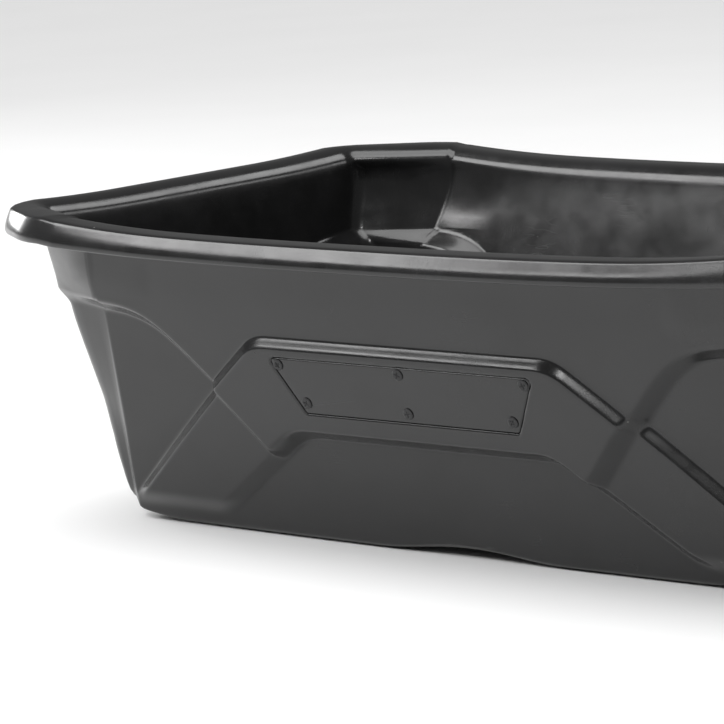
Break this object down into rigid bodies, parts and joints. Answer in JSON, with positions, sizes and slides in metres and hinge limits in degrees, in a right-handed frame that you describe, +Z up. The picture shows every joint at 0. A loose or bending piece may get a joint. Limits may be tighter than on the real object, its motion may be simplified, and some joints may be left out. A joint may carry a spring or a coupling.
{
  "type": "ice fishing sled",
  "caption": "Deep moulded plastic tub sled with a rolled rim, raised bands and blank plates on its long walls, two broad runners and tow-rope eyelets in a raked front.",
  "frame": {"origin": "under the middle of the sled, on the plane its runners stand on", "axes": "+X to the front, the towed end; +Y to the far long side; +Z up"},
  "size_m": [0.85, 0.508, 0.255],
  "materials": {
    "hull_plastic": "semi-gloss black polyethylene, faintly mottled",
    "plate_plastic": "semi-gloss black, blank",
    "screw_steel": "blackened pan head",
    "eyelet_metal": "zinc plated",
    "washer_metal": "zinc plated"
  },
  "bodies": {
    "root": {"hull": "hull_plastic", "badge_plate_near": "plate_plastic", "badge_plate_far": "plate_plastic", "plate_screw_near_1": "screw_steel", "plate_screw_near_2": "screw_steel", "plate_screw_near_3": "screw_steel", "plate_screw_near_4": "screw_steel", "plate_screw_near_5": "screw_steel", "plate_screw_near_6": "screw_steel", "plate_screw_far_1": "screw_steel", "plate_screw_far_2": "screw_steel", "plate_screw_far_3": "screw_steel", "plate_screw_far_4": "screw_steel", "plate_screw_far_5": "screw_steel", "plate_screw_far_6": "screw_steel", "tow_eyelet_near": "eyelet_metal", "tow_eyelet_far": "eyelet_metal", "eyelet_washer_near": "washer_metal", "eyelet_washer_far": "washer_metal"}
  },
  "joints": []
}
